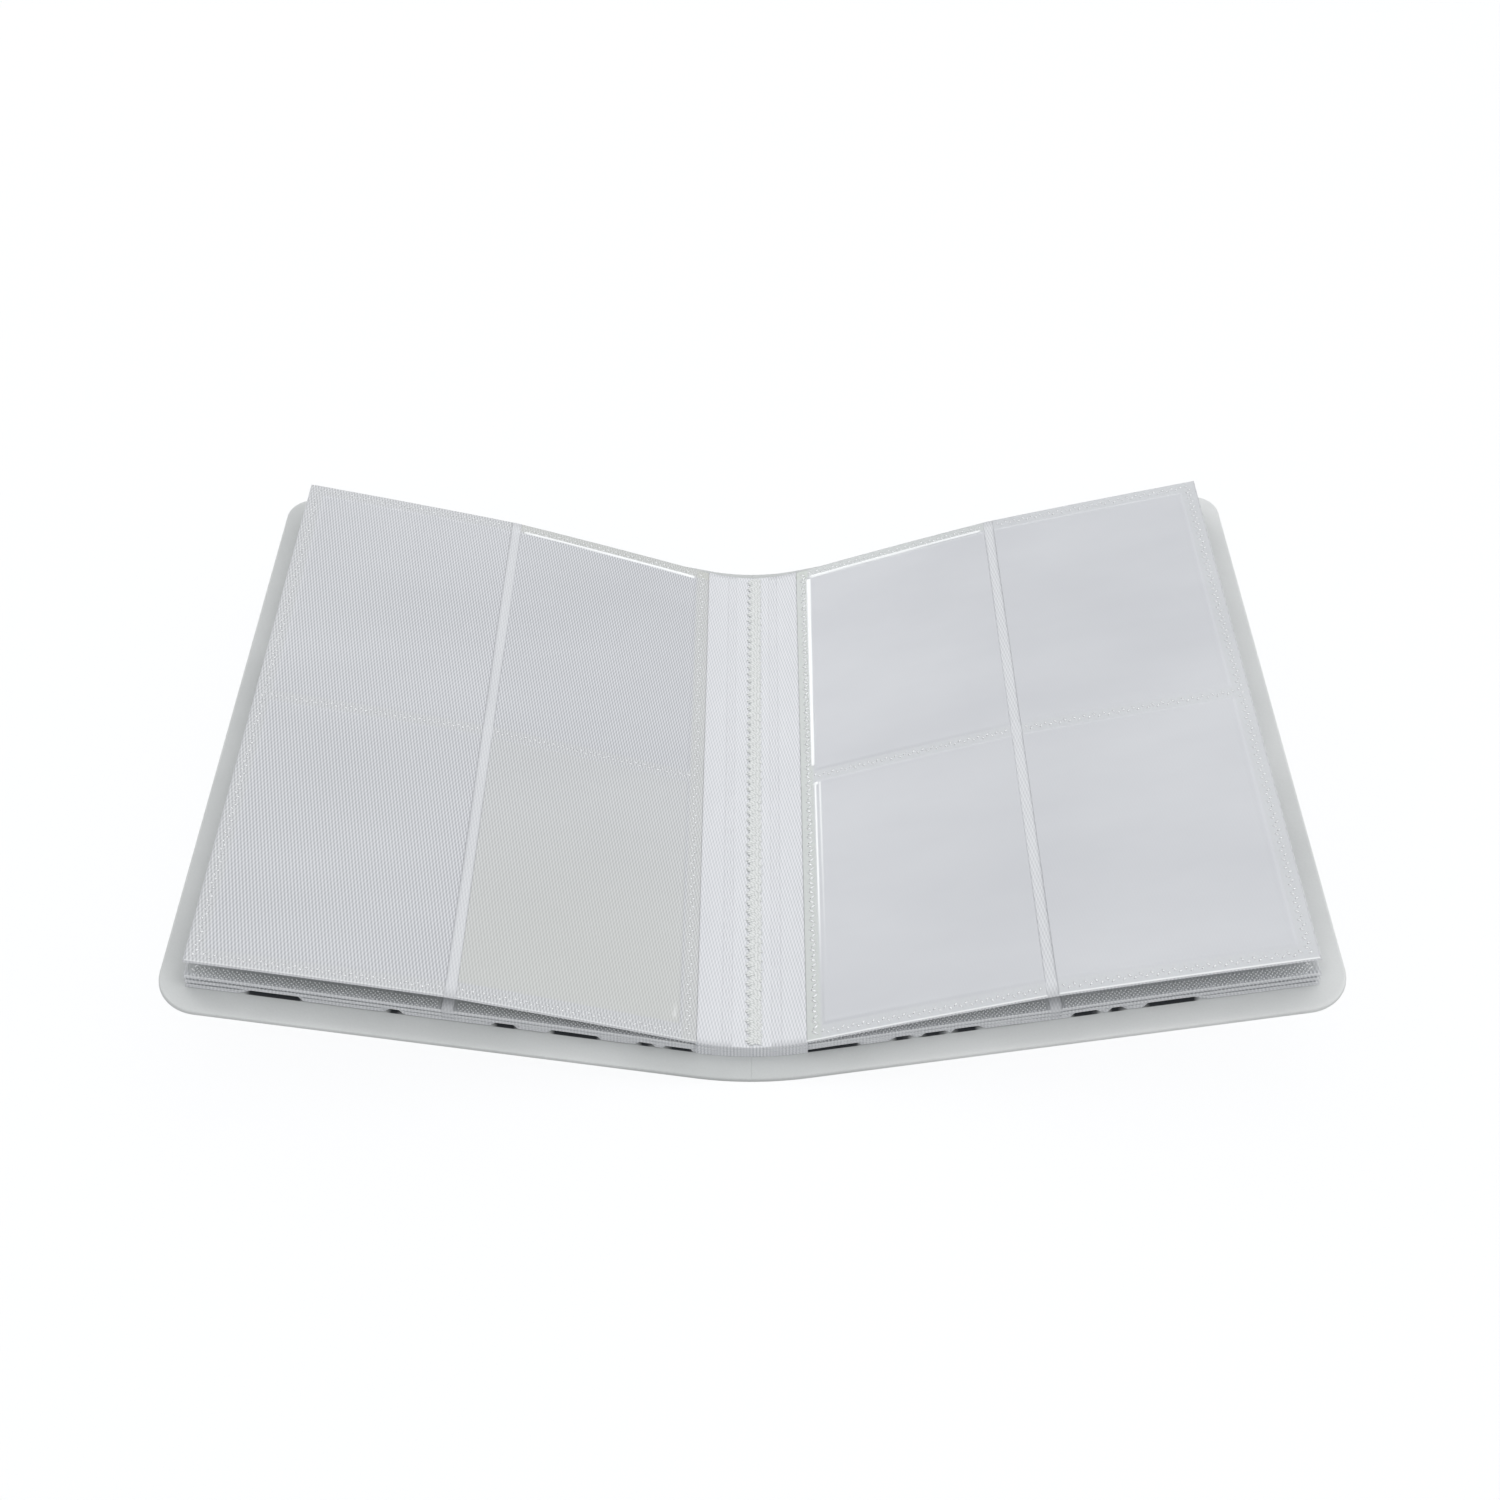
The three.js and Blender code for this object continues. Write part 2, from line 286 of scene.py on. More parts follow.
def nodeAdder(tree):
    # empties a tree and gives the one function that adds a node to it
    tree.nodes.clear()

    def add(kind, stops=(), **given):
        # Stops are the two ends of a colour ramp. A key in small letters is a setting. Inputs go by name, or
        # by number as in0: a value is set, an output is linked, and a node stands for its first output.
        node = tree.nodes.new("ShaderNode" + kind)
        for end, (position, code) in enumerate(stops):
            node.color_ramp.elements[end].position = position
            node.color_ramp.elements[end].color = linear(code)
        for key, value in given.items():
            numbered = key[:2] == "in" and key[2:].isdigit()
            if key[0].islower() and not numbered:
                setattr(node, key, value)
                continue
            socket = node.inputs[int(key[2:]) if numbered else key.replace("_", " ")]
            if isinstance(value, bpy.types.Node):
                value = value.outputs[0]
            if isinstance(value, bpy.types.NodeSocket):
                tree.links.new(value, socket)
            else:
                socket.default_value = value
        return node

    return add


def newMaterial(name):
    # a material, the function that adds its nodes, and the place in mm that its pattern follows
    made = bpy.data.materials.new(name)
    made.use_nodes = True
    add = nodeAdder(made.node_tree)
    return made, add, add("Attribute", attribute_name="patternMm").outputs["Vector"]


def finished(made, add, look, colour, rough, relief, share=1.0):
    # the surface itself: a colour, a roughness, and a relief whose depth is in mm
    bump = add("Bump", Height=relief, Strength=share * look["bump"], Distance=look["bumpDepth"] * mm)
    shader = add("BsdfPrincipled", Base_Color=colour, Roughness=rough, Normal=bump, IOR=look["ior"])
    add("OutputMaterial", Surface=shader)
    return made


# The linen grain pressed into the sheets. The real ribs are 0.65 mm apart, too fine to show in the render, so
# they are drawn half as coarse again. Each set of ribs has a direction, a share of the pitch and a height.
grain = {
    "pitch": 0.93,
    "ribs": {"along": (0.97, 0.23, 0.0), "length": 1.0, "height": 0.29},
    "crossing": {"along": (0.88, -0.47, 0.0), "length": 1.02, "height": 0.19},
}


def linen(add, source):
    # steep slanted ribs and weaker ones that cross them: a half plus two sines, each in its own direction
    total = 0.5
    for ribs in (grain["ribs"], grain["crossing"]):
        turns = 2 * np.pi / (grain["pitch"] * ribs["length"])
        dot = add("VectorMath", operation="DOT_PRODUCT", in0=source, in1=ribs["along"])
        turn = add("Math", operation="MULTIPLY", in0=dot.outputs["Value"], in1=turns)
        wave = add("Math", operation="SINE", in0=turn)
        total = add("Math", operation="MULTIPLY_ADD", in0=wave, in1=ribs["height"], in2=total)
    return total


def grainAndCloud(add, ribs, cloud, share):
    # ribs times their share plus cloud times the rest
    rest = add("Math", operation="MULTIPLY", in0=cloud, in1=1 - share)
    return add("Math", operation="MULTIPLY_ADD", in0=ribs, in1=share, in2=rest)


sheetLook = {
    "page": {"name": "embossed_page_sheet", "low": "#c4c6ca", "high": "#dcdee1", "ribs": 0.7},
    "gutter": {"name": "embossed_gutter_sheet", "low": "#c2c5c9", "high": "#e4e5e9", "ribs": 0.8},
    "cloud": 26.0,
    "rough": 0.45, "roughSpread": 0.15,
    "bump": 0.5, "bumpDepth": 0.1,
    "ior": 1.49,
}


def embossedPageSheet(look):
    # white polypropylene pressed with a fine linen grain: the eye sees pale dots and a faint cloudiness. The
    # colour follows the grain's relief, paler on the ribs and darker between them: painted shade.
    made, add, source = newMaterial(look["name"])
    ribs = linen(add, source)
    cloud = add("TexNoise", Vector=source, Scale=1 / sheetLook["cloud"], Detail=3.0)
    total = grainAndCloud(add, ribs, cloud, look["ribs"])
    # painted shade of the relief: paler on the ribs and darker between them, over the cloud's tone
    colour = add("ValToRGB", stops=[(0.15, look["low"]), (0.85, look["high"])], Fac=total)
    rough = add("Math", operation="MULTIPLY_ADD", in0=cloud, in1=sheetLook["roughSpread"],
                in2=sheetLook["rough"])
    return finished(made, add, sheetLook, colour, rough, ribs)


filmLook = {
    "tight": {"name": "clear_film_over_grain", "low": "#a8aaaf", "high": "#d9dbdf", "marginAndShade": "#c3c5be",
              "ribs": 0.8, "rough": 0.40},
    # painted sheen: paler, with the grain's colour almost gone, for the reflection of the bright surroundings
    "sheenPainted": {"name": "clear_film_painted_sheen", "low": "#bfc1c6", "high": "#ccced2", "marginAndShade": "#c3c8c4",
              "ribs": 0.06, "rough": 0.28},
    # the lower leaves' film, whose margin colour is painted shade for their ends under the top leaf
    "shaded": {"name": "clear_film_painted_stack_shade", "low": "#a4a6ab", "high": "#dcdee2", "marginAndShade": "#b9bcbd",
               "ribs": 0.8, "rough": 0.40},
    "cloud": 34.0, "cloudStretch": (0.4, 1.0, 1.0),
    "roughSpread": 0.12,
    "bump": 0.7, "bumpDepth": 0.1,
    # painted highlight: the white of the ridges
    "ridgeAndHighlight": "#fafcfd",
    "ridgeRough": 0.1,
    "ior": 1.5,
}


def clearPocketFilm(look):
    # satin film close over the sheet: the grain shows through it, paler on its ribs and darker between them
    # as painted shade of the relief; the welded margins have their own tone, which on the lower leaves' ends
    # is painted shade; and where it is rolled into a ridge it is glossy, with a painted white highlight
    made, add, source = newMaterial(look["name"])
    marginAndShade = add("Attribute", attribute_name="marginAndShade").outputs["Fac"]
    ridgeAndHighlight = add("Attribute", attribute_name="ridgeAndHighlight").outputs["Fac"]
    ribs = linen(add, source)
    stretched = add("Mapping", Vector=source, Scale=filmLook["cloudStretch"])
    cloud = add("TexNoise", Vector=stretched, Scale=1 / filmLook["cloud"], Detail=4.0)
    total = grainAndCloud(add, ribs, cloud, look["ribs"])
    # painted shade of the relief: paler on the ribs and darker between them, by the look's share of ribs
    colour = add("ValToRGB", stops=[(0.2, look["low"]), (0.8, look["high"])], Fac=total)
    # the margin's tone, which at the lower leaves' ends is painted shade, then the painted white highlight
    for share, code in ((marginAndShade, look["marginAndShade"]), (ridgeAndHighlight, filmLook["ridgeAndHighlight"])):
        colour = add("Mix", data_type="RGBA", in0=share, in6=colour, in7=linear(code)).outputs[2]
    rough = add("Math", operation="MULTIPLY_ADD", in0=cloud, in1=filmLook["roughSpread"], in2=look["rough"])
    gloss = add("Mix", data_type="FLOAT", in0=ridgeAndHighlight, in2=rough, in3=filmLook["ridgeRough"])
    return finished(made, add, filmLook, colour, gloss, ribs, look["ribs"])


weldLook = {"low": "#eceef0", "high": "#f8fafb", "cloud": 1.6, "rough": 0.28, "bump": 0.3,
            "bumpDepth": 0.08, "ior": 1.5}


def fusedWeld():
    # film melted into the sheet by the welding wheel: whiter and shinier than the film around it
    made, add, source = newMaterial("fused_weld")
    cloud = add("TexNoise", Vector=source, Scale=1 / weldLook["cloud"], Detail=3.0)
    colour = add("ValToRGB", stops=[(0.3, weldLook["low"]), (0.7, weldLook["high"])], Fac=cloud)
    return finished(made, add, weldLook, colour, weldLook["rough"], cloud)


coverLook = {
    "low": "#b8bbbb",
    "high": "#dfe1e1",
    # painted shadow: near black, in the narrow gaps where the lowest leaf lifts off the cover
    "paintedGapShade": "#323539",
    "pebble": 0.9,
    "cloud": 48.0,
    "speckle": 0.6, "speckleShare": 0.25,
    # painted light over the back half and painted shade over the spine
    "paintedLightBack": 0.36, "backFrom": 15.0, "backTo": 75.0,
    "paintedShadeSpine": 0.28, "spineFrom": 5.0, "spineTo": 50.0,
    "rough": 0.55, "roughSpread": 0.15,
    "bump": 0.35, "bumpDepth": 0.08,
    "ior": 1.48,
}


def softCover():
    # matte foamed sheet: even grey with a fine pebble that shows in grazing light. Painted shadow makes it
    # near black in the narrow gaps where the lowest leaf lifts off it, and painted light and shade make it a
    # little paler in its back half and darker over the spine
    made, add, source = newMaterial("cover_soft_plastic")
    look = coverLook
    paintedGapShade = add("Attribute", attribute_name="marginAndShade").outputs["Fac"]
    pebble = add("TexVoronoi", feature="SMOOTH_F1", Vector=source, Scale=1 / look["pebble"])
    cloud = add("TexNoise", Vector=source, Scale=1 / look["cloud"], Detail=3.0)
    speckle = add("TexNoise", Vector=source, Scale=1 / look["speckle"], Detail=2.0)
    across = add("SeparateXYZ", Vector=source)
    offMiddle = add("Math", operation="ABSOLUTE", in0=across)
    # painted light, paler out over the back half, and painted shade, darker near the spine
    paintedLight = add("MapRange", interpolation_type="SMOOTHSTEP", Value=across, in1=look["backFrom"],
                in2=look["backTo"], in3=0.0, in4=look["paintedLightBack"])
    paintedShade = add("MapRange", interpolation_type="SMOOTHSTEP", Value=offMiddle, in1=look["spineFrom"],
                 in2=look["spineTo"], in3=-look["paintedShadeSpine"], in4=0.0)
    total = add("Math", operation="MULTIPLY_ADD", in0=speckle, in1=look["speckleShare"], in2=cloud)
    for change in (paintedLight, paintedShade):
        total = add("Math", operation="ADD", in0=total, in1=change)
    half = add("Math", operation="MULTIPLY", in0=total, in1=0.5)
    colour = add("ValToRGB", stops=[(0.025, look["low"]), (0.625, look["high"])], Fac=half)
    # painted shadow: the near black colour where the lowest leaf lifts off
    colour = add("Mix", data_type="RGBA", in0=paintedGapShade, in6=colour, in7=linear(look["paintedGapShade"])).outputs[2]
    rough = add("Math", operation="MULTIPLY_ADD", in0=speckle, in1=look["roughSpread"], in2=look["rough"])
    return finished(made, add, look, colour, rough, pebble)


threadLook = {"low": "#c8cbca", "high": "#dfe1e1", "twist": 5.0, "rough": 0.8, "bump": 0.7,
              "bumpDepth": 0.1, "ior": 1.5}


def seamThread():
    # spun polyester: plies twisted round each other, with darker lines where they meet, painted shade in the
    # grooves that follows the relief. The pattern is a sine of the twist along the thread plus the turn round
    # it.
    made, add, source = newMaterial("seam_thread")
    split = add("SeparateXYZ", Vector=source)
    turn = add("Math", operation="MULTIPLY_ADD", in0=split, in1=threadLook["twist"], in2=split.outputs[1])
    ply = add("Math", operation="SINE", in0=turn)
    half = add("Math", operation="MULTIPLY_ADD", in0=ply, in1=0.5, in2=0.5)
    colour = add("ValToRGB", stops=[(0.0, threadLook["low"]), (0.6, threadLook["high"])], Fac=half)
    return finished(made, add, threadLook, colour, threadLook["rough"], half)


materials = {
    "sheet": embossedPageSheet(sheetLook["page"]),
    "gutter": embossedPageSheet(sheetLook["gutter"]),
    "tightFilm": clearPocketFilm(filmLook["tight"]),
    "sheenPaintedFilm": clearPocketFilm(filmLook["sheenPainted"]),
    "shadedFilm": clearPocketFilm(filmLook["shaded"]),
    "weld": fusedWeld(),
    "cover": softCover(),
    "thread": seamThread(),
}


def dress(piece, material):
    # gives a piece its look and its slot
    piece.data.materials.append(materials[material])
    return piece


print("stage: materials ready")

# Cover

cover = {
    "height": 215.0,
    "cornerRadius": 11.5,
    "bendHalf": 16.6,
    "reachPast": 0.35,
    "edge": 0.45,
    "underEdge": 0.15,
    "bevel": 0.3,
    "bendRows": (24.0, 40),  # how far out they reach, and how many
    "middleRows": 90,
    "endColumns": (0.95, 5),  # a share of the half height, and how many from there to the end
    "middleColumns": (0.9, 30),
    "cornerRows": 15,
    "tuck": 0.4, "tuckDepth": 0.04,
    "paintedGapShade": (98.5, 99.75, 0.1),  # from and to along the spine, from the middle, and the width of its edge
    "leafFrom": 16.5,
}
outerX = float(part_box("back_cover_panel")[1][0]) / mm


def coverLine(s):
    # arc length out from the middle gives x, height and angle: a round arc up to bendHalf, then straight
    radius = cover["bendHalf"] / np.sin(coverRise)
    arc = radius * coverRise
    angle = np.clip(s / radius, -coverRise, coverRise)
    rest = np.clip(s - arc, 0, None)
    x = radius * np.sin(angle) + rest * np.cos(coverRise)
    z = radius * (1 - np.cos(angle)) + rest * np.sin(coverRise)
    return x, z, angle


def coverSurface(side):
    radius = cover["bendHalf"] / np.sin(coverRise)
    straight = (outerX - cover["bendHalf"]) / np.cos(coverRise)
    fullReach = radius * coverRise + straight + cover["reachPast"]
    gapFrom, gapTo, gapEdge = cover["paintedGapShade"]
    gapRows = np.array([gapTo + gapEdge, gapTo, gapFrom, gapFrom - gapEdge])
    near = gapRows / (cover["height"] / 2 - cover["edge"])
    endShadeShare, endCount = cover["endColumns"]
    middleShare, middleCount = cover["middleColumns"]
    eta = np.concatenate([-np.linspace(1, endShadeShare, endCount), -near,
                          np.linspace(-middleShare, middleShare, middleCount), near[::-1],
                          np.linspace(endShadeShare, 1, endCount)])

    def surface(inset, lift):
        # rows of arc length out from the middle, columns of a share of the height, less the round corner's
        # fall. The back half's first row is tucked under the front half.
        reach = fullReach - inset
        r = cover["cornerRadius"] - inset
        bendEnd, bendCount = cover["bendRows"]
        first = [-cover["tuck"]] if side > 0 else []
        middle = np.linspace(bendEnd, reach - r, cover["middleRows"])[1:]
        turn = reach - r + r * np.sin(np.linspace(0, np.pi / 2, cover["cornerRows"]))[1:]
        s = np.concatenate([first, np.linspace(0, bendEnd, bendCount), middle, turn])
        tucked = cover["tuckDepth"] * (s < 0)
        fall = np.clip(s - (reach - r), 0, r)
        yEdge = cover["height"] / 2 - inset - tucked - r + np.sqrt(np.clip(r * r - fall * fall, 0, None))
        x, z, angle = coverLine(s)
        height = lift - np.sign(lift) * tucked + album["coverThickness"] / 2
        px = x - height * np.sin(angle)
        pz = z + height * np.cos(angle)
        y = yEdge[:, None] * eta[None, :]
        points = stacked(side * px[:, None], y, pz[:, None]) * mm
        # painted shadow: its share, in the lifted stretches of the lowest leaf near its front end
        inGap = (y > -gapTo - 0.3 * gapEdge) * (y < 0.3 * gapEdge - gapFrom)
        paintedGapShade = liftShare(side, s[:, None] - cover["leafFrom"]) * inGap
        return points, stacked(side * s[:, None], y, 0, 0, paintedGapShade)

    return surface


for side, name in sideNames.items():
    half = album["coverThickness"] / 2
    edge, underEdge, bevel = cover["edge"], cover["underEdge"], cover["edge"] * cover["bevel"]
    rings = [(edge, half), (bevel, half - bevel), (0, half - edge), (0, underEdge - half), (underEdge, -half)]
    piece = plate(f"{name}_soft_cover", coverSurface(side), rings, flip=side < 0, sharpRim=False,
                  flatRows=1 if side > 0 else 0)
    dress(piece, "cover")
    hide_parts(f"{name}_cover_panel", f"{name}_cover_bend", *(["spine_cover"] if side > 0 else []))
    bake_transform(piece)
print("stage: cover made")

# Leaves: base sheets and pocket films

film = {
    "thickness": 0.15,
    "edge": 0.3,
    "foldEdge": 0.03,
    "weldTop": 0.20,
    "topPocket": 0.35,
    "lowerPocket": 0.25,
    "rise": 0.9,
    "roll": 0.05, "rollWidth": 2.4,
    "ridgeAndHighlight": 0.5,
    "wave": 0.10, "waveTurns": (0.055, 0.03, 0.09, 1.3), "waveFrom": 14.0,
    "swell": 0.22, "swellEnds": (88.0, 5.0),
    "fineStep": {True: 0.3, False: 0.5},  # on the top of the top leaf, and elsewhere
    "coarseStep": {True: 4.0, False: 2.0},  # on the top leaf, and on the lower ones
    "alongStep": 4.5,
}
filmHalf = halfHeight - film["edge"]
pocketFrom = album["edgeSetback"] + album["weldWidth"]
rowLow = [pocketFrom - halfHeight, album["weldWidth"] / 2]
rowHigh = [-album["weldWidth"] / 2, halfHeight - pocketFrom]


def steps(marks, fine, coarse, reach=3.0, least=0.12):
    # sample places between marks: fine steps within the reach of each mark and coarse ones between
    places = [marks[0]]
    for a, b in zip(marks[:-1], marks[1:]):
        edge = min(reach, (b - a) / 2)
        near = np.arange(fine, edge + 1e-6, fine)
        count = max(2, int((b - a - 2 * edge) / coarse) + 1)
        far = np.linspace(a + edge, b - edge, count)
        places += list(a + near) + list(far) + list(b - near[::-1]) + [b]
    places = np.unique(np.round(places, 3))
    return places[np.concatenate([[True], np.diff(places) > least])]


def pocketEdge(a, v):
    # distance in from the nearest welded side of the pocket that a point lies in, below zero on the welds
    rows = [np.minimum(v - low, high - v) for low, high in zip(rowLow, rowHigh)]
    return np.minimum(a - pocketFrom, np.maximum(rows[0], rows[1]))


# Rolled edges of the top leaf's inner pockets, with a painted white highlight along them, in mm from the weld
# or the leaf's edge that they follow
rolled = {
    "back": {"out": 1.3, "width": 2.1, "taper": 0.9, "start": (0.2, 1.2), "end": 0.8, "endOver": 2.0},
    "wide": {"in": 3.5, "width": 2.5, "taper": 0.9, "end": 0.4, "endOver": 0.9, "start": (2.0, 1.2)},
    "thin": {"in": 4.4, "width": 1.2, "second": 0.4, "secondIn": 6.1, "secondWidth": 1.1, "end": 0.6,
             "endOver": 0.8, "share": 0.75},
    "hook": {"in": 4.0, "width": 2.4, "end": 0.4, "length": 2.0},
    "dimple": {"in": 7.0, "up": 3.2, "across": 0.7, "along": 1.3, "share": 0.16},
}


def ridges(a, v, side):
    # Humps across each rolled edge, eased off at both of its ends, the largest of them at each point. On
    # the front half one round dimple takes the place of those beside the gutter. The humps raise the film and
    # set the share of its painted white highlight.
    back, wide, thin, hook = rolled["back"], rolled["wide"], rolled["thin"], rolled["hook"]
    far = a / album["columnWidth"]
    ridgeAndHighlight = hump(rowHigh[1] + back["out"] - v, back["width"] - back["taper"] * far)
    ridgeAndHighlight = ridgeAndHighlight * rising(a - pocketFrom, back["start"])
    ridgeAndHighlight = ridgeAndHighlight * smooth((album["columnWidth"] - back["end"] - a) / back["endOver"])
    if side < 0:
        dimple = rolled["dimple"]
        spot = ((a - dimple["in"]) / dimple["across"]) ** 2
        spot = spot + ((v - rowLow[0] - dimple["up"]) / dimple["along"]) ** 2
        return np.maximum(ridgeAndHighlight, dimple["share"] * np.exp(-spot))
    down = (rowHigh[1] - v) / (rowHigh[1] - rowLow[1])
    wideRidge = hump(a - wide["in"], wide["width"] - wide["taper"] * down)
    wideRidge = wideRidge * smooth((rowHigh[1] - wide["end"] - v) / wide["endOver"])
    wideRidge = wideRidge * rising(v - rowLow[1], wide["start"])
    fade = smooth((v - rowLow[0]) / (rowHigh[0] - rowLow[0]))
    fade = fade * smooth((rowHigh[0] - thin["end"] - v) / thin["endOver"])
    thinRidge = hump(a - thin["in"], thin["width"])
    thinRidge = thinRidge + thin["second"] * hump(a - thin["secondIn"], thin["secondWidth"])
    hookRidge = hump(a - hook["in"], hook["width"]) * hump(rowHigh[0] - hook["end"] - v, hook["length"])
    return np.maximum.reduce([ridgeAndHighlight, wideRidge, thin["share"] * thinRidge * fade, hookRidge])


# Shares of the margin's tone, with painted shade, and of the painted white highlight along the ridges, over a
# film, and the spans in mm over which they change
tone = {
    "weldEase": 0.8,
    "topWeld": 0.15,
    "lowerWeld": 0.1,
    "ends": (94.0, 2.0), "endShadeShare": {-1: 0.9, 1: 0.6},
    "rim": (-2.4, 2.0), "rimLessShade": 0.8, "rimHighlight": 0.6, "rimHighlightEdge": (-0.5, 0.4),  # from the film's end
    "gutterEdge": (-5.2, 1.5), "gutterShare": 0.55, "gutterPart": {-1: 0.35, 1: 1.0},
    "back": (0.3, 1.0), "backShare": 0.35,
    "tint": 0.2, "paintedShadeGain": 0.3,
    "ridgeHighlightFull": 0.4,
    "frontHighlight": {-1: 0.3, 1: 0.75}, "frontHighlightWidth": 0.6, "frontHighlightOver": 0.3,
}


def filmLevel(a, v, side, number, face, column):
    # Height of the film's outer skin over the sheet: the weld, plus the pocket's rise in from its edge, a
    # roll along that edge and, on the top leaf, a slow wave and the ridges. Then the two shares: the painted
    # white highlight, and the margin's tone, which at the lower leaves' ends is painted shade.
    top = number == 1 and face > 0
    inside = pocketEdge(a, v)
    pocket = film["topPocket"] if number == 1 else film["lowerPocket"]
    height = film["weldTop"] + (pocket - film["weldTop"]) * smooth(inside / film["rise"])
    height = height + film["roll"] * hump(inside, film["rollWidth"])
    ridgeAndHighlight = 0.0 * height
    onWeld = smooth(-inside / tone["weldEase"] + 0.5)
    if number > 1:
        # the two lowest leaves swell towards each other at their ends. The lower leaves' ends take the
        # margin's darker tone as painted shade, eased off at the outermost rim, which has a painted
        # highlight.
        out = np.abs(v)
        if (number, face) in ((3, -1), (4, 1)):
            height = height + film["swell"] * rising(out, film["swellEnds"])
        rim = rising(out - filmHalf, tone["rim"])
        endShade = rising(out, tone["ends"]) * (1 - tone["rimLessShade"] * rim)
        # painted highlight along the outermost rim
        atRim = rising(out - filmHalf, tone["rimHighlightEdge"])
        # painted shade at the ends, over the welds' own tone
        marginAndShade = onWeld * (tone["lowerWeld"] + tone["endShadeShare"][side] * endShade)
        return height, ridgeAndHighlight + tone["rimHighlight"] * atRim, marginAndShade
    if top:
        turnV, turnA, turnAcross, shift = film["waveTurns"]
        wave = np.sin(v * turnV + a * turnA + side) * np.sin(a * turnAcross + shift * np.sign(v))
        height = height + film["wave"] * wave * smooth(inside / film["waveFrom"])
    if top and column == "inner":
        ridgeAndHighlight = ridges(a, v, side)
        height = height + film["ridgeAndHighlight"] * ridgeAndHighlight
    marginAndShade = tone["topWeld"] * onWeld
    if column == "inner":
        nearGutter = rising(-a, tone["gutterEdge"])
        marginAndShade = marginAndShade + tone["gutterShare"] * nearGutter * tone["gutterPart"][side]
        marginAndShade = marginAndShade + tone["backShare"] * rising(v - rowHigh[1], tone["back"])
    if side < 0 and column == "inner":
        # the front pocket next to the gutter has painted shade: a darker, warmer tone that grows towards its
        # front end
        tint = tone["tint"] + tone["paintedShadeGain"] * smooth(-v / filmHalf)
        marginAndShade = np.maximum(marginAndShade, tint * smooth(inside / tone["weldEase"]) * (v < 0))
    ridgeAndHighlight = smooth(ridgeAndHighlight / tone["ridgeHighlightFull"])
    # painted highlight: a thin white line along the top leaf's front edge
    if top:
        atFront = smooth((tone["frontHighlightWidth"] - filmHalf - v) / tone["frontHighlightOver"])
        ridgeAndHighlight = np.maximum(ridgeAndHighlight, tone["frontHighlight"][side] * atFront)
    return height, ridgeAndHighlight, marginAndShade


def filmSurface(side, number, face, column):
    fine = film["fineStep"][number == 1 and face > 0]
    start = film["foldEdge"] if column == "inner" else film["edge"]
    a = steps([start, pocketFrom, album["columnWidth"]], fine, film["coarseStep"][number == 1])
    v = steps([-filmHalf, rowLow[0], rowHigh[0], rowLow[1], rowHigh[1], filmHalf], fine, film["alongStep"])

    def surface(inset, lift):
        # a runs in from the leaf's edge to the band and v along the spine; the height is filmLevel's
        aa, vv = np.meshgrid(a, v, indexing="ij")
        height, ridgeAndHighlight, marginAndShade = filmLevel(aa, vv, side, number, face, column)
        u = aa if column == "inner" else leafWidth - aa
        points = onLeaf(side, number, u, vv, face * (halfSheet + height + lift))
        return points, stacked(side * u, vv, 7 * number, ridgeAndHighlight, marginAndShade)

    return surface


sheet = {"columns": {True: 14, False: 35}, "bandHalf": 4.0, "bandColumns": 13, "rows": 41}


def sheetSurface(side, number):
    count = sheet["columns"][number == 1]
    low, high = bandAt - sheet["bandHalf"], bandAt + sheet["bandHalf"]
    u = np.unique(np.concatenate([np.linspace(0, low, count), np.linspace(low, high, sheet["bandColumns"]),
                                  np.linspace(high, leafWidth, count)]))
    v = np.linspace(-halfHeight, halfHeight, sheet["rows"])

    def surface(inset, lift):
        # the leaf's own plane, lifted by half the sheet's thickness to each side
        uu, vv = np.meshgrid(u, v, indexing="ij")
        return onLeaf(side, number, uu, vv, lift), stacked(side * uu, vv, 3 * number)

    return surface


# Weld marks: small lens-shaped marks of the welding wheel, in mm and degrees

welds = {
    "pitch": 1.5,
    "length": 1.25,
    "width": 0.62,
    "rise": 0.12,
    "sink": 0.05,
    "slant": 52.0,
    "shift": 0.42,
    "inEdge": 2.7,
    "endNearer": 0.3, "endGap": 1.6,
    "bandGap": 0.8,
    "chain": {"pitch": 1.2, "shift": 0.15, "size": 1.7},
    "mesh": {"rows": 5, "pitch": 1.25, "row": 0.62, "from": 0.9, "slant": 32.0, "size": 0.62},
}


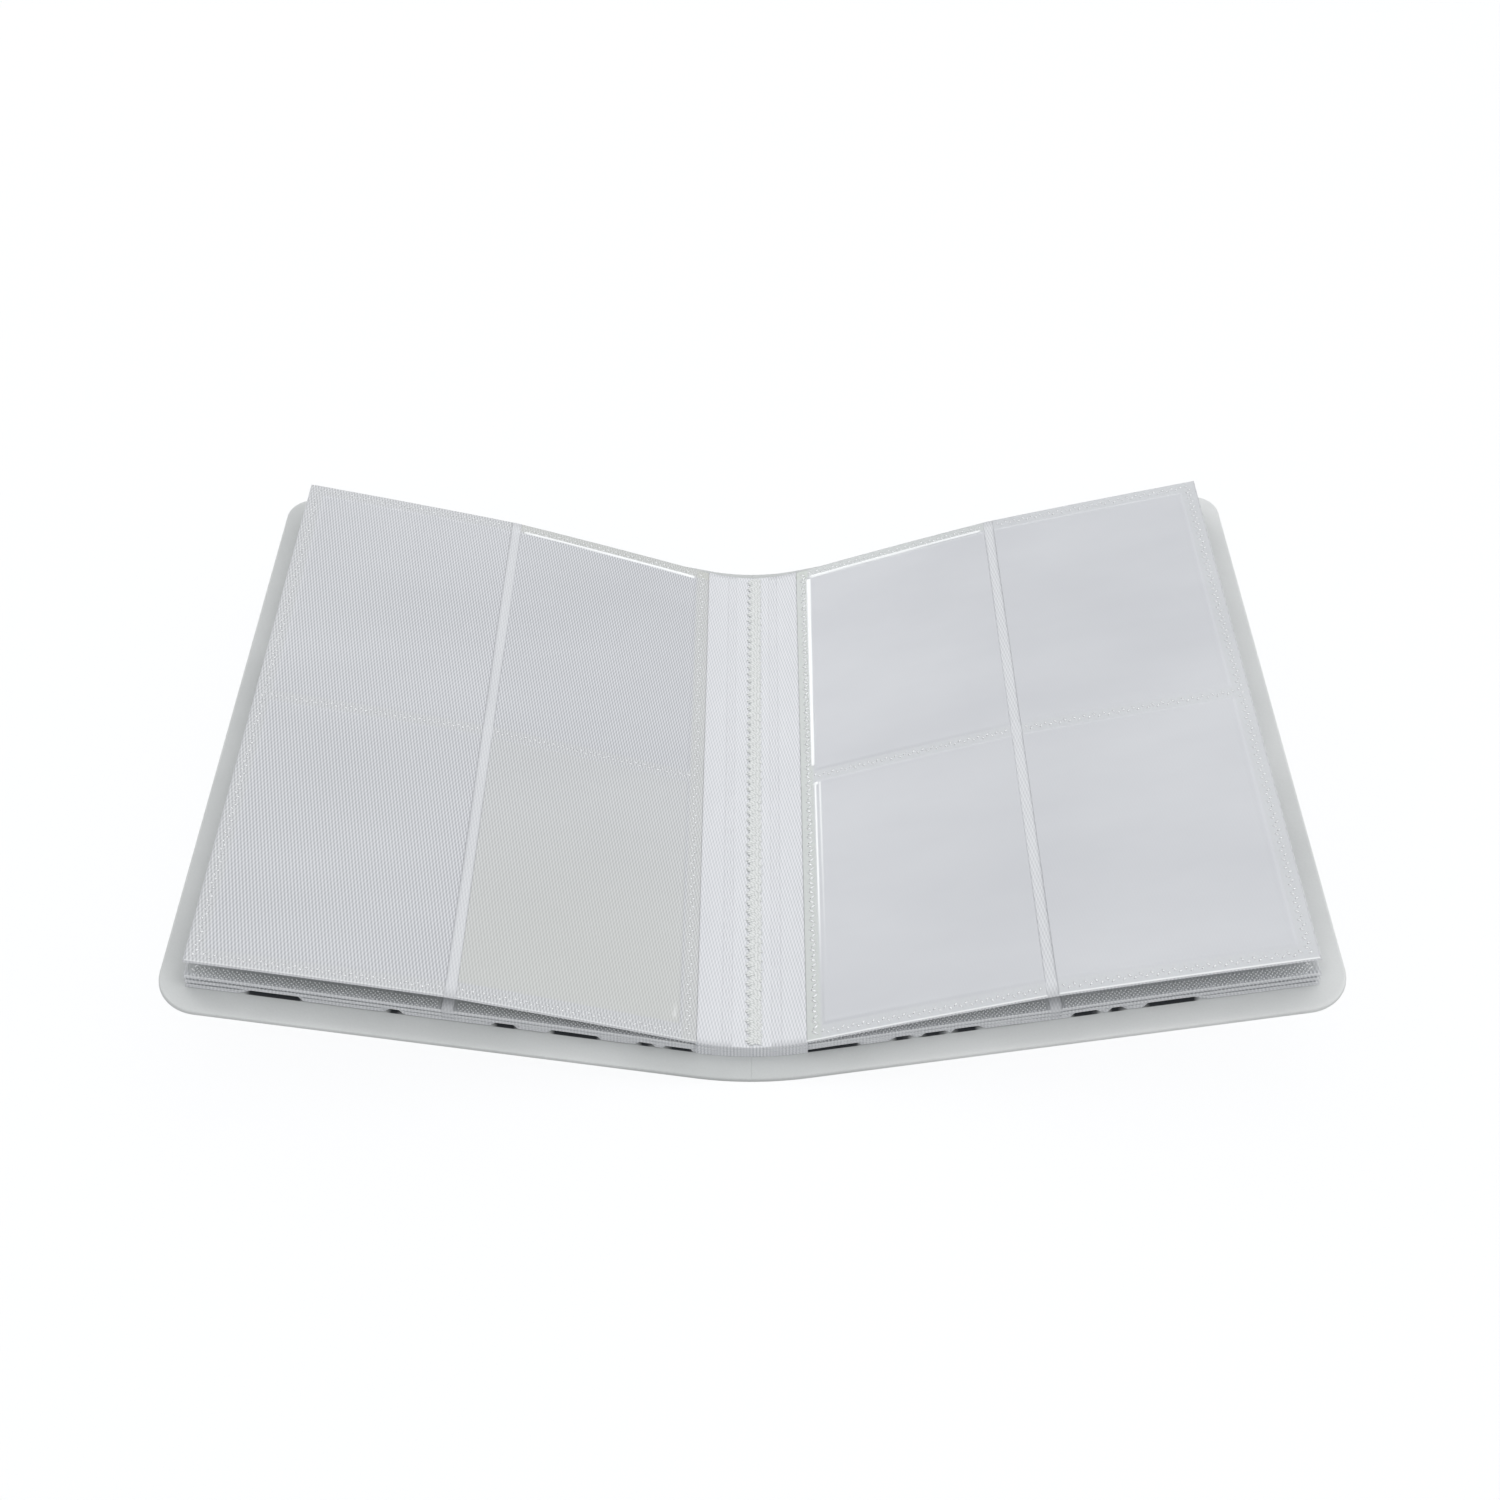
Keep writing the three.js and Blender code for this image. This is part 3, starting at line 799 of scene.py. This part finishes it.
def weldPlaces(column, side, number):
    # Centres, directions and sizes of the marks on one film: evenly spaced along its closed side, its two
    # ends and its middle weld, to the left and right of each line in turn. On the back half the side at the
    # gutter has a chain of larger ones, and the lower leaves' ends have a mesh of slanted dashes in rows.
    mid = welds["inEdge"]
    far = album["columnWidth"] - welds["bandGap"]
    near = mid + welds["endGap"]
    end = filmHalf - mid + welds["endNearer"]
    lines = [
        ((mid, welds["endGap"] - filmHalf), (mid, filmHalf - welds["endGap"])),
        ((near, -end), (far, -end)),
        ((near, end), (far, end)),
        ((near, 0.0), (far, 0.0)),
    ]
    centres, angles, sizes = [], [], []
    if number > 1:
        mesh = welds["mesh"]
        for sign in (-1, 1):
            for row in range(mesh["rows"]):
                odd = row % 2
                at = np.arange(mid, far, mesh["pitch"]) + odd * mesh["pitch"] / 2
                depth = filmHalf - mesh["from"] - row * mesh["row"]
                centres.append(stacked(at, sign * depth))
                angles.append(np.radians(90 + mesh["slant"] * (1 - 2 * odd)) + 0 * at)
                sizes.append(np.full(len(at), mesh["size"]))
        lines = [lines[0], lines[3]]
    for k, ((a0, v0), (a1, v1)) in enumerate(lines):
        chain = k == 0 and column == "inner" and side > 0
        length = np.hypot(a1 - a0, v1 - v0)
        count = int(length / (welds["pitch"] * (welds["chain"]["pitch"] if chain else 1.0)))
        t = (np.arange(count) + 0.5) / count
        flip = 1 - 2 * (np.arange(count) % 2)
        along = np.array([a1 - a0, v1 - v0]) / length
        shift = welds["chain"]["shift"] if chain else welds["shift"]
        off = flip[:, None] * np.array([-along[1], along[0]]) * shift
        centres.append(stacked(a0 + (a1 - a0) * t, v0 + (v1 - v0) * t) + off)
        angles.append(np.arctan2(along[1], along[0]) + np.radians(welds["slant"]) * flip)
        sizes.append(np.full(count, welds["chain"]["size"] if chain else 1.0))
    return np.concatenate(centres), np.concatenate(angles), np.concatenate(sizes)


def weldMarks(side, number):
    # each mark is an ellipse of eight points, with a raised middle above and a sunk one below, at its angle
    corners = 8
    k = np.arange(corners)
    turn = k * 2 * np.pi / corners
    ellipse = stacked(np.cos(turn) * welds["length"] / 2, np.sin(turn) * welds["width"] / 2)
    template = np.concatenate([ellipse, [[0, 0]], [[0, 0]]])
    rise = np.concatenate([np.zeros(corners), [welds["rise"]], [-welds["sink"]]])
    after = (k + 1) % corners
    fan = np.concatenate([stacked(k, after, corners), stacked(after, k, corners + 1)])
    points, faces, pattern = [], [], []
    start = 0
    for column in ("inner", "outer"):
        centres, angles, sizes = weldPlaces(column, side, number)
        c, s = np.cos(angles)[:, None], np.sin(angles)[:, None]
        long, wide = template[:, 0] * sizes[:, None], template[:, 1] * np.sqrt(sizes)[:, None]
        a = centres[:, :1] + long * c - wide * s
        v = centres[:, 1:] + long * s + wide * c
        u = a if column == "inner" else leafWidth - a
        for face in (1, -1):
            w = face * (halfSheet + film["weldTop"] + 0.0 * a + rise)
            placed = onLeaf(side, number, u, v, w).reshape(-1, 3)
            mirrored = (side < 0) ^ (face < 0) ^ (column == "outer")
            firsts = np.arange(len(centres)) * len(template) + start
            block = (fan[None] + firsts[:, None, None]).reshape(-1, 3)
            points.append(placed)
            faces.append(block[:, ::-1] if mirrored else block)
            pattern.append(stacked(u.ravel(), v.ravel(), 0))
            start += len(placed)
    name = f"{sideNames[side]}_leaf_{number}_weld_marks"
    return putMesh(name, np.concatenate(points), np.concatenate(faces), None, np.concatenate(pattern))


for side, name in sideNames.items():
    for number in range(1, album["leaves"] + 1):
        body = f"{name}_leaf_{number}"
        piece = plate(f"{body}_base_sheet", sheetSurface(side, number), [(0, halfSheet), (0, -halfSheet)],
                      flip=side < 0)
        dress(piece, "sheet")
        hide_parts(f"{body}_sheet")
        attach(piece, body)
        # the back half's top leaf takes the film with painted sheen, for the bright surroundings it reflects
        topFilm = "tightFilm" if side < 0 else "sheenPaintedFilm"
        for face, faceName in ((1, "upper"), (-1, "under")):
            for column in ("inner", "outer"):
                flip = (side < 0) ^ (face < 0) ^ (column == "outer")
                piece = plate(f"{body}_{faceName}_{column}_film", filmSurface(side, number, face, column),
                              [(0, 0.0), (0, -film["thickness"])], flip=flip)
                dress(piece, topFilm if number == 1 else "shadedFilm")
                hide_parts(f"{body}_{faceName}_{column}_pockets")
                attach(piece, body)
        piece = weldMarks(side, number)
        dress(piece, "weld")
        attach(piece, body)
print("stage: leaves made")

# Gutter folds. Each half of a fold is cut into strips, one for each pair of neighbouring bodies that one
# joint joins: spine and cover, cover and lowest leaf, and so on up to the fold's own leaf.

gutter = {
    "sheet": 1.08,  # drawn thicker than the fold itself, to fill most of the gap under it
    "bevel": 0.1,
    "coverBlend": (3.0, 6.0),
    "leafBlendEnd": 9.6,
    "pastLeaf": 40.0,
    "tuck": 0.3, "tuckDepth": 0.03, "tuckShare": 0.0004, "tuckStep": 0.01,
    "fine": {"step": 0.3, "columns": 401},  # under the seam
    "coarse": {"step": 0.8, "columns": 81},
    "leastRows": 8,
    "pinch": 0.16, "pinchWidth": 2.6,
}
seam = {
    "pitch": 3.3,
    "endMargin": 1.5,
    "left": -2.1, "leftWander": 0.08,  # edges of the band, from the middle of the spine
    "right": 3.5, "rightTooth": 0.5, "rightWander": 0.35,
    "middle": 0.6,
    "tooth": 1.9, "toothPower": 0.6,
    "threads": 5,
    "wanderTurn": 2.399,
    "radius": 0.43,
    "endRadius": 0.35,
    "squash": 0.7,  # height of a thread over its width
    "slant": 0.34,
    "lift": 0.26,
    "endShadeShare": 0.11, "endSink": 0.16,
    "rightSink": 0.14,
    "gutterRise": 0.012,
    "hole": 0.22, "holeIn": 0.5, "holeWide": 0.85, "holeLong": 0.6,
    "rings": 11,
    "sides": 8,
    "patternTurns": 5,
}
seamTurns = round((album["leafHeight"] - 2 * seam["endMargin"]) / seam["pitch"])
seamRun = seamTurns * seam["pitch"]


def seamPull(x, v):
    # The stitches draw the sheet down along the seam, most of all at the needle hole in each notch of its
    # left edge: a bell curve across, plus one in both directions round each hole
    pull = gutter["pinch"] * np.exp(-((x - seam["middle"]) / gutter["pinchWidth"]) ** 2)
    turn = (v + seamRun / 2) / seam["pitch"]
    off = (turn - np.round(turn)) * seam["pitch"]
    near = ((x - seam["left"] - seam["holeIn"]) / seam["holeWide"]) ** 2 + (off / seam["holeLong"]) ** 2
    return pull + seam["hole"] * np.exp(-near)


def gutterSurface(side, number, x0, x1, grid, tuck):
    rise = lieOf(number)["curl"] * album["panelStart"] ** 2
    endX, endZ = fanned(album["panelStart"], rise + levelOf(number), number)
    depth = (endZ - levelOf(number)) / endX ** 2

    def surface(inset, lift):
        # height is the fold's level plus a square of x that meets the leaf, less the seam's pull on the top
        # fold. A strip that starts at a neighbour is tucked a little under it.
        start = x0 - (gutter["tuck"] if tuck else 0)
        end = min(x1, endX)
        x = np.linspace(start, end, max(gutter["leastRows"], int((end - start) / grid["step"])))
        if tuck:
            step = gutter["tuckStep"]
            x = np.concatenate([[start, x0 - step, x0 + step], x[x > x0 + 5 * step]])
        v = np.linspace(-halfHeight, halfHeight, grid["columns"])
        xx, vv = np.meshgrid(x, v, indexing="ij")
        tucked = xx < x0
        tilt = np.arctan(2 * depth * xx)
        z = levelOf(number) + depth * xx ** 2 - gutter["tuckDepth"] * tucked
        vv = vv * (1 - gutter["tuckShare"] * tucked)
        if number == 1:
            z = z - seamPull(side * xx, vv)
        points = stacked(side * (xx - lift * np.sin(tilt)), vv, z + lift * np.cos(tilt)) * mm
        return points, stacked(side * xx, vv, 3 * number)

    return surface


for number in range(1, album["leaves"] + 1):
    for side, name in sideNames.items():
        carried = range(album["leaves"], number - 1, -1)
        bodies = ["spine", f"{name}_cover"] + [f"{name}_leaf_{m}" for m in carried]
        first, second = gutter["coverBlend"]
        edges = [first] + list(np.linspace(second, gutter["leafBlendEnd"], len(bodies) - 1))
        top = album["gutterThickness"] / 2
        low = top - gutter["sheet"]
        rings = [(0, top), (0, top - gutter["bevel"]), (0, low + gutter["bevel"]), (0, low)]
        for k in range(len(bodies) - 1):
            x0 = 0.0 if k == 0 else edges[k]
            x1 = gutter["pastLeaf"] if k == len(bodies) - 2 else edges[k + 1]
            grid = gutter["fine"] if number == 1 and k == 0 else gutter["coarse"]
            strip = gutterSurface(side, number, x0, x1, grid, k > 0)
            piece = plate(f"gutter_fold_{number}_{name}_{k + 1}", strip, rings, flip=side < 0,
                          flatRows=2 if k > 0 else 0)
            dress(piece, "gutter")
            if k == 0 and side > 0:
                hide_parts(f"gutter_fold_{number}")
            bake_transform(piece)
print("stage: gutter folds made")

# Seam


def zigzagSeam():
    # Threads laid side by side, several to a stitch. Each one slants up to the middle of the band and back,
    # and its left end follows the teeth, a triangle wave along the spine. A ring of points runs along it.
    top = levelOf(1) + album["gutterThickness"] / 2
    count = seamTurns * seam["threads"]
    k = np.arange(count)
    phase = (k + 0.5) / seam["threads"]
    y = (phase - seamTurns / 2) * seam["pitch"]
    tooth = 1 - np.abs(2 * (phase - np.floor(phase)) - 1)
    wobble = 0.5 + 0.5 * np.sin(k * seam["wanderTurn"])
    left = seam["left"] + seam["tooth"] * (1 - tooth ** seam["toothPower"]) + seam["leftWander"] * wobble
    right = seam["right"] - seam["rightTooth"] * (1 - np.roll(tooth, 2)) - seam["rightWander"] * wobble
    t = np.linspace(0, 1, seam["rings"])
    x = left[:, None] + (right - left)[:, None] * t
    rise = seam["slant"] * ((right - left) / 2)[:, None] * (1 - np.abs(2 * t - 1))
    yy = y[:, None] + rise - rise.mean()
    ends = smooth(np.minimum(t, 1 - t) / seam["endShadeShare"])
    z = top - seamPull(x, 0 * x + seam["pitch"] / 2) + seam["lift"] * ends - seam["endSink"] * (1 - ends)
    z = z - seam["rightSink"] * smooth(t) + seam["gutterRise"] * x * x
    line = stacked(x, yy, z)
    tangent = np.gradient(line, axis=1)
    tangent /= np.linalg.norm(tangent, axis=2, keepdims=True)
    across = np.cross(tangent, [0, 0, 1.0])
    across /= np.linalg.norm(across, axis=2, keepdims=True)
    up = np.cross(across, tangent)
    ringAngle = np.linspace(0, 2 * np.pi, seam["sides"], endpoint=False)
    thin = (seam["endRadius"] + (1 - seam["endRadius"]) * ends)[None, :, None, None] * seam["radius"]
    flat = np.cos(ringAngle)[None, None, :, None] * across[:, :, None]
    tall = seam["squash"] * np.sin(ringAngle)[None, None, :, None] * up[:, :, None]
    tube = line[:, :, None] + thin * (flat + tall)
    index = np.arange(count * len(t) * seam["sides"]).reshape(count, len(t), seam["sides"])
    near, far = index[:, :-1], index[:, 1:]
    quads = stacked(near, far, np.roll(far, -1, 2), np.roll(near, -1, 2))
    # three quads close each of a thread's eight-sided ends
    caps = [index[:, 0][:, corners] for corners in ([0, 1, 2, 3], [0, 3, 4, 7], [4, 5, 6, 7])]
    caps += [index[:, -1][:, corners] for corners in ([3, 2, 1, 0], [7, 4, 3, 0], [7, 6, 5, 4])]
    faces = np.concatenate([quads.reshape(-1, 4)] + caps)
    arc = np.broadcast_to((t * seam["patternTurns"])[None, :, None], tube.shape[:3])
    turn = np.broadcast_to(ringAngle[None, None, :], tube.shape[:3])
    pattern = stacked(arc + k[:, None, None], turn, 0)
    return putMesh("sewn_zigzag", tube.reshape(-1, 3) * mm, faces, None, pattern.reshape(-1, 3))


piece = dress(zigzagSeam(), "thread")
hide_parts("zigzag_seam")
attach(piece, "spine")
print("stage: seam made")

# Floor, light and camera. Places and sizes are in metres here.

studio = {
    "halfFloor": 4.0,
    "floorLow": "#cecece",
    "floorHigh": "#d4d4d4",
    "floorCloud": 0.4,
    "clear": 0.92,  # share of the floor that the camera looks through
    "seen": 1.04,
    "world": 0.56, "worldTint": (0.985, 0.992, 1.0, 1.0),
    "worldLow": 0.3,  # share of the light near the horizon, and the heights between which it rises to one
    "worldFrom": 0.05, "worldTo": 0.7,
}
lamps = {
    "top_softbox": {"place": (0.3, 0.25, 1.47), "size": (1.7, 1.7), "energy": 9.8,
                    "tint": (1.0, 0.997, 0.99)},
    "side_softbox": {"place": (1.25, -0.55, 0.95), "size": (0.9, 0.9), "energy": 5.2},
    "front_panel": {"place": (-0.45, -1.45, 0.45), "size": (1.6, 0.3), "energy": 1.8},
    "left_fill": {"place": (-0.9, -1.2, 0.9), "size": (0.8, 0.8), "energy": 3.0},
    "haze_panel": {"place": (-1.05, 1.25, 1.15), "size": (0.9, 0.9), "energy": 4.0},
    "back_strip": {"place": (-0.45, 1.2, 0.42), "size": (1.5, 0.16), "energy": 3.0, "target": (0, 0, 0.02)},
}


def paleFloor():
    # matt white floor, nearly clear to the camera and clear to the lamps, so a trace of the shadow is left
    # on the white world and what hangs below the floor's level in a pose still shows
    made = bpy.data.materials.new("studio_floor")
    made.use_nodes = True
    add = nodeAdder(made.node_tree)
    path = add("LightPath")
    source = add("TexCoord").outputs["Object"]
    cloud = add("TexNoise", Vector=source, Scale=1 / studio["floorCloud"], Detail=3.0)
    ends = [(0.0, studio["floorLow"]), (1.0, studio["floorHigh"])]
    colour = add("ValToRGB", stops=ends, Fac=cloud)
    matt = add("BsdfPrincipled", Base_Color=colour, Roughness=0.9)
    clear = add("BsdfTransparent")
    share = add("Math", operation="MULTIPLY", in0=path.outputs["Is Camera Ray"], in1=studio["clear"])
    most = add("Math", operation="MAXIMUM", in0=share, in1=path.outputs["Is Shadow Ray"])
    mixed = add("MixShader", in0=most, in1=matt, in2=clear)
    add("OutputMaterial", Surface=mixed)
    return made


def whiteWorld():
    # soft light that is strongest overhead, and plain white to the camera and in reflections
    world = bpy.data.worlds.new("studio_world")
    world.use_nodes = True
    bpy.context.scene.world = world
    add = nodeAdder(world.node_tree)
    path = add("LightPath")
    source = add("TexCoord").outputs["Generated"]
    direction = add("SeparateXYZ", Vector=source)
    height = add("MapRange", Value=direction.outputs["Z"], in1=studio["worldFrom"], in2=studio["worldTo"],
                 in3=studio["worldLow"], in4=1.0)
    sky = add("Math", operation="MULTIPLY", in0=height, in1=studio["world"])
    seen = add("Math", operation="MAXIMUM", in0=path.outputs["Is Camera Ray"],
               in1=path.outputs["Is Glossy Ray"])
    strength = add("Mix", data_type="FLOAT", in0=seen, in2=sky, in3=studio["seen"])
    back = add("Background", Color=studio["worldTint"], Strength=strength)
    add("OutputWorld", Surface=back)


def aim(holder, place, right, up, forward):
    # sets an object's axes: right, up and, behind it, the reverse of forward
    rows = [list(right) + [0], list(up) + [0], list(-forward) + [0], list(place) + [1]]
    holder.matrix_world = Matrix(rows).transposed()
    bpy.context.scene.collection.objects.link(holder)


def areaLight(name, place, size, energy, tint=(1, 1, 1), target=(0, 0, 0)):
    # a level rectangle that faces its target
    lamp = bpy.data.lights.new(name, "AREA")
    lamp.shape = "RECTANGLE"
    lamp.size, lamp.size_y = size
    lamp.energy = energy
    lamp.color = tint
    forward = np.array(target, float) - np.array(place, float)
    forward /= np.linalg.norm(forward)
    right = np.cross(forward, [0, 0, 1.0])
    right /= np.linalg.norm(right)
    aim(bpy.data.objects.new(name, lamp), place, right, np.cross(right, forward), forward)


half = studio["halfFloor"]
floorPoints = np.array([[-half, -half, 0], [half, -half, 0], [half, half, 0], [-half, half, 0]])
floor = putMesh("studio_floor", floorPoints, np.array([[0, 1, 2, 3]]))
floor.data.materials.append(paleFloor())
whiteWorld()
for name, lamp in lamps.items():
    areaLight(name, **lamp)

# The camera that was solved from the photograph: place in mm, turns in radians, focal length in its pixels
view = {
    "focalPixels": 1656.37,
    "imageWidth": 1500,
    "sensor": 36.0,
    "place": (3.041, -352.12, 428.74),
    "pitch": 0.8544,
    "yaw": 0.0104,
    "roll": 0.0107,
}


def photoCamera():
    # axes of the camera from its three turns, then the focal length from pixels
    lens = bpy.data.cameras.new("photo_camera")
    lens.sensor_fit = "HORIZONTAL"
    lens.sensor_width = view["sensor"]
    lens.lens = view["sensor"] * view["focalPixels"] / view["imageWidth"]
    lens.clip_start = 0.01
    c, s = np.cos(view["yaw"]), np.sin(view["yaw"])
    right = np.array([c, s, 0.0])
    level = np.array([-s, c, 0.0])
    c, s = np.cos(view["pitch"]), np.sin(view["pitch"])
    forward = level * c + np.array([0, 0, -s])
    up = level * s + np.array([0, 0, c])
    c, s = np.cos(view["roll"]), np.sin(view["roll"])
    holder = bpy.data.objects.new("photo_camera", lens)
    aim(holder, np.array(view["place"]) * mm, right * c - up * s, right * s + up * c, forward)
    bpy.context.scene.camera = holder


photoCamera()
bpy.context.scene.view_settings.view_transform = "Standard"
print("stage: studio ready")
